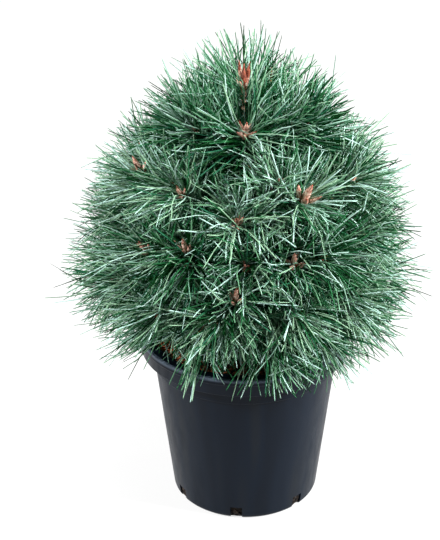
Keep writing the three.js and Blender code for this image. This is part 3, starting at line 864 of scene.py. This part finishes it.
# Bark with relief.
def trunk_relief(places, distance, angle):
    """Upright plates between furrows, deepest at the foot, and a ring at each whorl."""
    plates = np.abs(ripple(places * (1, 1, 0.32), 0.017, 31)) ** 0.7
    grit = ripple(places, 0.006, 32)
    rings = np.exp(-((distance[:, None] - WHORL_MARKS[None, :]) / 0.006) ** 2).sum(axis=1)
    depth = mix(0.0015, 0.0005, np.clip(distance / 0.3, 0, 1))
    return depth * (plates - 0.6) + 0.00035 * grit + 0.0009 * rings


def bough_relief(places, distance, angle):
    return 0.0005 * np.abs(ripple(places * (1, 1, 0.6), 0.009, 41)) + 0.0002 * ripple(places, 0.004, 42)


def scale_relief(places, distance, angle):
    """Rows of small scars that the needles stand on."""
    row = distance / 0.0034
    return 0.0006 * np.clip(np.sin(row * pi) * np.cos(4 * angle + pi * np.floor(row)), -0.3, 1)


def make_trunk(bark):
    soup = Soup()
    distance = np.linspace(0.0035, trunk_path.length, 190)
    share = distance / trunk_path.length
    flare = (TRUNK.flare_radius - TRUNK.root_radius) * np.exp(-3 * distance / TRUNK.flare_height)
    radius = mix(TRUNK.root_radius, TRUNK.tip_radius, share) + flare
    add_tube(soup, trunk_path, distance, radius, 48, trunk_relief)
    soup.make("trunk_bark", bark, "bark", ["trunk"])


def make_boughs(bark):
    """The boughs of paired shoots are nodes of the frame. The thinner ones at the top are added."""
    soup = Soup()
    nodes = []
    for branch in branches:
        path = branch.bough
        if path is None:
            continue
        distance = np.linspace(0.004, path.length, 40)
        thick = len(branch.shoots) > 1
        radius = mix(BOUGH.root_radius, BOUGH.tip_radius, distance / path.length)
        add_tube(soup, path, distance, radius * (1 if thick else BOUGH.thin), 16, bough_relief)
        if thick:
            nodes.append("bough_" + branch.name)
    soup.make("boughs_bark", bark, "bark", nodes)


def make_shoots(materials):
    soup = Soup()
    for branch in branches:
        own = STEM["leader" if branch.name == "leader" else "shoot"]
        for shoot in branch.shoots:
            path = shoot.path
            distance = np.linspace(0, path.length + 0.001, own.rings)
            radius = mix(own.radius * own.foot, own.radius * own.tip, distance / path.length)
            add_tube(soup, path, distance, radius, own.sides, scale_relief, own.slot)
        for twig in branch.twigs:
            distance = np.linspace(0, twig.path.length, 14)
            add_tube(soup, twig.path, distance, TWIG.radius, 6, scale_relief)
    soup.make("shoots_bark", materials, "bark")


# Bud clusters.
def add_bud(soup, foot, aim, length, radius, rng, fine, ripe):
    """One pointed bud, its scales in staggered rows, its slots from the resinous foot to the tip."""
    sides = 12 if fine else 8
    rings = 13 if fine else 7
    share = np.linspace(0, 1, rings, endpoint=False)
    plump = np.sin(np.pi * np.clip(share * 0.86 + 0.14, 0, 1) ** 0.8) ** 0.75
    plump = plump * (1 - 0.22 * share)
    across = unit(np.cross(aim, unit(rng.normal(size=3))))
    over = np.cross(aim, across)
    angle = np.arange(sides) * 2 * pi / sides
    stagger = np.where(np.arange(rings) % 2 == 0, 1, -1)[:, None]
    scales = 1 + (0.09 if fine else 0.05) * stagger * np.cos(sides / 2 * angle)[None, :]
    bow = across * rng.uniform(-0.08, 0.08) * length
    line = foot + aim * length * share[:, None] + bow * (share[:, None] ** 2)
    outward = across * np.cos(angle)[:, None] + over * np.sin(angle)[:, None]
    body = line[:, None] + outward[None] * (radius * plump[:, None] * scales)[..., None]
    tip = foot + aim * length + bow
    slots = np.repeat(np.digitize(share[:-1] + ripe + rng.uniform(-0.08, 0.08), (0.22, 0.5, 0.82)), sides)
    cap = fan((rings - 1) * sides, rings * sides, sides)[:, [1, 0, 2]]
    skin = ring_faces(rings, sides)[:, ::-1]
    soup.add(np.vstack([body.reshape(-1, 3), tip]), (skin, slots), (cap, 3))


def add_cluster(soup, end, aim, scale, rng, sides, ripe, fine=True):
    """A bud with some others round it."""
    across = unit(np.cross(aim, unit(rng.normal(size=3))))
    over = np.cross(aim, across)
    foot = end - aim * BUD.sunk
    radius = BUD.radius * scale
    length = BUD.length * scale * rng.uniform(*BUD.variation)
    add_bud(soup, foot, aim, length, radius, rng, fine, ripe)
    for i in range(sides):
        turn = 2 * pi * (i + rng.uniform(-0.2, 0.2)) / sides
        angle = radians(rng.uniform(*BUD.side_angle))
        side = across * cos(turn) + over * sin(turn)
        outward = unit(aim * cos(angle) + side * sin(angle))
        length = BUD.length * scale * rng.uniform(*BUD.side_length)
        place = foot - aim * rng.uniform(*BUD.side_drop) + side * radius * BUD.side_out
        add_bud(soup, place, outward, length, radius * rng.uniform(*BUD.side_radius), rng, fine, ripe)


def add_leader_buds(soup, end, rng):
    for bud in LEADER_BUDS:
        lean = radians(bud.lean)
        aim = around(bud.turn, sin(lean), cos(lean))
        foot = end + around(bud.turn, LEADER_BUD_OUT, -bud.drop)
        add_bud(soup, foot, aim, bud.length, bud.radius, rng, True, bud.ripe)


def shown_cluster(shoot):
    """The scale and lift of a cluster that stands clear, or None."""
    return shoot.plan or SHOWN_BUDS.get(round(shoot.number, 1))


def add_shoot_buds(soup, shoot, rng):
    """The cluster at a shoot's end."""
    sides = int(rng.integers(BUD.sides[0], BUD.sides[1] + 1))
    scale = rng.uniform(*BUD.scale) * BUD_SHARE[shoot.whorl]
    lift = 0 if shoot.whorl == "skirt" else BUD.lift
    ripe = rng.uniform(*BUD.ripe)
    shown = shown_cluster(shoot)
    if shown:
        scale = shown.scale
        lift = shown.lift
    elif shoot.bud[1] < 0:
        scale *= BUD.hidden_scale
        ripe += BUD.hidden_ripe
    add_cluster(soup, shoot.bud, unit(shoot.aim + UP * lift), scale, rng, sides, ripe)


def add_twig_buds(soup, twig, rng):
    shown = shown_cluster(twig)
    if shown:
        aim = unit(twig.aim + UP * shown.lift)
        add_cluster(soup, twig.bud, aim, shown.scale, rng, TWIG_BUD.shown_sides, 0.0)
    else:
        scale = rng.uniform(*TWIG_BUD.scale)
        sides, ripe = TWIG_BUD.sides, TWIG_BUD.ripe
        add_cluster(soup, twig.bud, twig.aim, scale, rng, sides, ripe, fine=False)


def make_buds():
    rng = np.random.default_rng(9)
    materials = flecked(
        "bud",
        ("bud_foot_brown", (0.10, 0.032, 0.012), (0.48, 0.28, 0.16)),
        ("bud_resin_pale", (0.33, 0.13, 0.082), (0.93, 0.73, 0.61)),
        ("bud_salmon", (0.25, 0.062, 0.036), (0.74, 0.44, 0.34)),
        ("bud_tip_red", (0.075, 0.012, 0.007), (0.36, 0.088, 0.042)),
    )
    soup = Soup()
    for branch in branches:
        for shoot in branch.shoots:
            if branch.name == "leader":
                add_leader_buds(soup, shoot.bud, rng)
            else:
                add_shoot_buds(soup, shoot, rng)
        for twig in branch.twigs:
            add_twig_buds(soup, twig, rng)
    soup.make("bud_clusters", materials, "needles")


# Needles in pairs round every shoot, twig and bough end.
def pairs_along(path, kind, habit, rng):
    """The needle pairs on a stem: their roots, directions, lengths and ranks from old to young."""
    spray = SPRAY[kind]
    start = spray.start_share * path.length + spray.start_gap
    end = path.length - spray.end_gap
    count = max(4, int((end - start) * spray.per_metre * habit.density))
    order = (np.arange(count) + rng.random(count)) / count
    rank = mix(*spray.ranks, order)
    at, along, across, over = path.frames(mix(start, end, order))
    turn = np.arange(count) * radians(GOLDEN_ANGLE) + rng.normal(0, 0.25, count)
    outward = across * np.cos(turn)[:, None] + over * np.sin(turn)[:, None]
    angle = mix(habit.root_angle, NEEDLE.tip_angle, rank**1.1)
    angle = np.radians(angle + rng.normal(0, NEEDLE.angle_spread, count))
    aim = along * np.cos(angle)[:, None] + outward * np.sin(angle)[:, None]
    aim = unit(aim + rng.normal(0, habit.stray, (count, 3)))
    size = spray.length * habit.length * (1 + rng.uniform(-1, 0.75, count) * NEEDLE.spread)
    root = at + outward * spray.radius * 0.8
    return Named(root=root, aim=aim, along=along, length=size, rank=rank, habit=habit)


def sprays_of(branch, rng):
    """Each spray is the needle pairs of one shoot, twig or bough end, with the number that tints it."""
    kind = "leader" if branch.name == "leader" else "shoot"
    stems = [(shoot.number, shoot.path, kind, shoot.whorl) for shoot in branch.shoots]
    stems += [(twig.number, twig.path, "twig", twig.whorl) for twig in branch.twigs]
    if branch.bough:
        stems.append((branch.shoots[0].number + 0.8, branch.bough, "bough", branch.whorl))
    return [(number, pairs_along(path, kind, HABIT[whorl], rng)) for number, path, kind, whorl in stems]


def tint_of(habit, number, rank, rng):
    """Which colour each needle has, by its rank and its spray's number."""
    lean = TINT.lean * wander(number * 1.7)
    tint = habit.tint - TINT.age * rank + lean + rng.normal(0, habit.variety, len(rank))
    tint = np.clip(np.rint(tint), 0, SHADES - 1)
    dry = (rank < TINT.dry_rank) & (rng.random(len(rank)) < TINT.dry_share)
    return np.where(dry, DRY, tint).astype(int)


def points_along(root, aim, length, shares):
    """Points on each needle at some shares of its length."""
    return root[:, None] + aim[:, None] * (length[:, None] * shares)[..., None]


def pot_hit(points, margin=0.0015):
    radius = np.hypot(points[..., 0], points[..., 1])
    height = points[..., 2]
    over_soil = (radius < inner_radius(POT_TOP) - margin) & (height > SOIL.level + 4 * margin)
    return (radius < RIM_RADIUS + margin) & (height < POT_TOP + margin) & ~over_soil


def clear_the_pot(root, aim, length):
    """Needles that would enter the pot are lifted until they clear it. The rest are dropped."""
    shares = np.array([0.3, 0.5, 0.65, 0.8, 0.92, 1.0])
    tries = 9
    lift = 0.2
    aim = aim.copy()
    for _ in range(tries):
        hit = pot_hit(points_along(root, aim, length, shares)).any(axis=1)
        if not hit.any():
            break
        aim[hit] = unit(aim[hit] + lift * UP)
    points = points_along(root, aim, length, shares)
    return aim, ~(pot_hit(points).any(axis=1) | pot_hit(root))


def overhangs(root, aim, length, number, rng):
    """Few needles hang lower than the rim, but whole bunches of them do here and there."""
    tip = (root + aim * length[:, None])[:, 2]
    kept = OVERHANG.bunch_kept if int(number) in OVERHANG.bunches else OVERHANG.kept
    chance = rng.random(len(root))
    return (tip < OVERHANG.lowest) | ((tip < OVERHANG.level) & (chance > kept))


def fit_outline(root, aim, length, rng):
    """Lengths cut until the tips are in the crown's outline, and which needles are still long enough."""
    cuts = 7
    cut = 0.94
    share = rng.uniform(*OUTLINE.spread, len(root))
    fitted = length.copy()
    for _ in range(cuts):
        tip = root + aim * fitted[:, None]
        limit = share * np.interp(tip[:, 2], OUTLINE.heights, OUTLINE.radii)
        outside = np.hypot(tip[:, 0], tip[:, 1]) > limit
        fitted[outside] *= cut
    return fitted, fitted > OUTLINE.shortest * length


def hides_leader(root, aim, length):
    """Needles part before the leader, so that its scarred stem and its buds show."""
    points = points_along(root, aim, length, np.linspace(0.1, 1, 9))
    x, y, z = points[..., 0], points[..., 1], points[..., 2]
    rise = (z - PARTING.low) / (PARTING.high - PARTING.low)
    half_width = mix(*PARTING.half_width, np.clip(rise, 0, 1))
    before = (np.abs(x) < half_width) & (y < PARTING.near) & (y > PARTING.far)
    return (before & (z > PARTING.low) & (z < PARTING.high)).any(axis=1)


def make_openings():
    """Narrow ways from the soil, the rim and the clusters that show towards the viewer."""
    ways = [(glimpse.place, glimpse.radius, GLIMPSE) for glimpse in GLIMPSES]
    for turn in RIM_GLIMPSES.turns:
        place = around(turn, RIM_RADIUS, RIM_GLIMPSES.height)
        ways.append((place, RIM_GLIMPSES.radius, RIM_GLIMPSES))
    for shoot in [shoot for branch in branches for shoot in (*branch.shoots, *branch.twigs)]:
        shown = shown_cluster(shoot)
        if shown:
            aim = unit(shoot.aim + UP * shown.lift)
            place = shoot.bud + aim * 0.4 * BUD.length * shown.scale
            radius = BUD_CLEARING.radius + BUD_CLEARING.per_scale * shown.scale
            ways.append((place, radius, BUD_CLEARING))
    return [(np.array(place), radius, kind.reach, kind.cleared) for place, radius, kind in ways]


openings = make_openings()


def blocks_opening(root, aim, length, rng):
    """Most needles that would cross an opening are left out."""
    points = points_along(root, aim, length, np.linspace(0.05, 1, 12))
    blocked = np.zeros(len(root), dtype=bool)
    for place, radius, reach, cleared in openings:
        offset = points - place
        sight = unit(np.array(CAMERA.place) - place)
        along = dot(offset, sight)
        away = np.linalg.norm(offset - along * sight, axis=-1)
        near = (away < radius) & (along[..., 0] > 0) & (along[..., 0] < reach)
        blocked |= near.any(axis=1) & (rng.random(len(root)) < cleared)
    return blocked


def add_needles(soup, root, aim, bend, inward, length, tint, rng):
    """Half-round tapered needles. inward is the side that the flat face looks to."""
    count = len(root)
    inward = unit(inward - aim * dot(aim, inward))
    side = np.cross(aim, inward)
    width = NEEDLE.width * rng.uniform(0.88, 1.12, count)[:, None]
    thick = NEEDLE.thick * rng.uniform(0.88, 1.12, count)[:, None]
    rings = []
    for share, taper in NEEDLE_RINGS:
        centre = root + aim * (length * share)[:, None] + bend * (length * share**2)[:, None]
        rings.append(centre - side * width * 0.5 * taper)
        rings.append(centre + side * width * 0.5 * taper)
        rings.append(centre - inward * thick * taper)
    tip = root + aim * length[:, None] + bend * length[:, None]
    block = np.stack([*rings, tip], axis=1)
    steps = len(NEEDLE_RINGS)
    offset = (np.arange(count) * block.shape[1])[:, None, None]
    skin = (ring_faces(steps, 3)[None] + offset).reshape(-1, 4)
    caps = (fan(3 * (steps - 1), 3 * steps, 3)[None] + offset).reshape(-1, 3)
    back = np.where(tint == DRY, DRY, tint + SHADES)
    waxy = rng.random(count) < WAXY_SHARE
    face = np.where(waxy | (tint == DRY), tint, back)
    side_tint = np.stack([face, back, back], axis=1)
    slots = np.tile(side_tint, (1, steps - 1)).ravel()
    soup.add(block.reshape(-1, 3), (skin, slots), (caps, side_tint.ravel()))


def grow_spray(soup, number, pairs, rng):
    """Both needles of each pair, where the pot, the outline and the openings leave room for them."""
    habit = pairs.habit
    root = pairs.root
    tint = tint_of(habit, number, pairs.rank, rng)
    count = len(tint)
    plane = unit(np.cross(pairs.aim, unit(rng.normal(size=(count, 3)))))
    half = np.radians(rng.uniform(*NEEDLE.pair_angle, count))[:, None]
    wild = rng.random(count) < habit.wild
    stray = np.where(wild, NEEDLE.wild_bend, NEEDLE.bend_stray)
    bend = pairs.along * NEEDLE.curve - UP * NEEDLE.droop
    bend = bend + rng.normal(0, 1, (count, 3)) * stray[:, None]
    bend = bend - pairs.aim * dot(pairs.aim, bend)
    for hand in (-1, 1):
        aim = unit(pairs.aim + hand * np.tan(half) * plane)
        length = pairs.length * rng.uniform(0.95, 1.03, count)
        aim, kept = clear_the_pot(root, unit(aim + bend), length)
        length, long_enough = fit_outline(root, aim, length, rng)
        kept &= long_enough
        kept &= ~hides_leader(root, aim, length)
        kept &= ~blocks_opening(root, aim, length, rng)
        kept &= ~overhangs(root, aim, length, number, rng)
        aim = unit(aim - bend)
        own = [values[kept] for values in (root, aim, bend, -hand * plane, length, tint)]
        add_needles(soup, *own, rng)


def make_needles():
    tints = [*WAXY_TINTS, *GREEN_TINTS, DRY_TINT]
    materials = [needle_material(f"needle_tint_{i + 1}", tint) for i, tint in enumerate(tints)]
    rng = np.random.default_rng(77)
    for whorl in WHORLS:
        soup = Soup()
        own = [branch for branch in branches if branch.whorl == whorl.name]
        for branch in own:
            for number, pairs in sprays_of(branch, rng):
                grow_spray(soup, number, pairs, rng)
        nodes = ["needles_" + branch.name for branch in own]
        soup.make("foliage_" + whorl.name, materials, "needles", nodes)


# The stage: floor, lights and camera.
def make_floor():
    bpy.ops.mesh.primitive_plane_add(size=30, location=(0, 6, 0))
    floor = bpy.context.object
    floor.name = "floor"
    material, tree, bsdf = shader("floor_pale", FLOOR.colour, FLOOR.roughness, FLOOR.specular)
    bsdf.inputs["Emission Color"].default_value = (1, 1, 1, 1)
    bsdf.inputs["Emission Strength"].default_value = FLOOR.glow
    floor.data.materials.append(material)


def make_light(plan):
    light = bpy.data.lights.new(plan.name, "AREA")
    light.spread = radians(plan.spread)
    light.shape = "RECTANGLE"
    light.size, light.size_y = plan.size
    light.energy = plan.power
    lamp = add_object(plan.name, light)
    lamp.location = plan.place
    aim = Vector(plan.target) - Vector(plan.place)
    lamp.rotation_euler = aim.to_track_quat("-Z", "Y").to_euler()


def make_camera():
    camera = bpy.data.cameras.new("camera")
    camera.sensor_fit = "VERTICAL"
    camera.sensor_height = CAMERA.sensor
    camera.lens = CAMERA.lens
    camera.shift_x = CAMERA.shift_x
    viewer = add_object("camera", camera)
    viewer.location = CAMERA.place
    viewer.rotation_euler = (radians(90 - CAMERA.pitch), 0, 0)
    scene.camera = viewer


def make_stage():
    make_floor()
    for plan in LIGHTS:
        make_light(plan)
    scene.view_settings.view_transform = "Standard"
    world = bpy.data.worlds.new("studio")
    world.use_nodes = True
    background = world.node_tree.nodes["Background"]
    background.inputs["Color"].default_value = WORLD.colour
    background.inputs["Strength"].default_value = WORLD.strength
    scene.world = world
    make_camera()


def main():
    make_stage()
    make_pot()
    make_soil()
    make_chips()
    make_drain_soil()
    bark = flecked("bark", ("trunk_bark_scaly", (0.045, 0.028, 0.018), (0.23, 0.15, 0.095)))
    make_trunk(bark)
    make_boughs(bark)
    young_bark = flecked("young_bark", ("shoot_bark_young", (0.012, 0.007, 0.004), (0.16, 0.085, 0.048)))
    scarred_bark = flecked("scarred_bark", ("leader_bark_scarred", (0.010, 0.004, 0.002), (0.60, 0.38, 0.26)))
    make_shoots(young_bark + scarred_bark)
    make_buds()
    make_needles()


main()
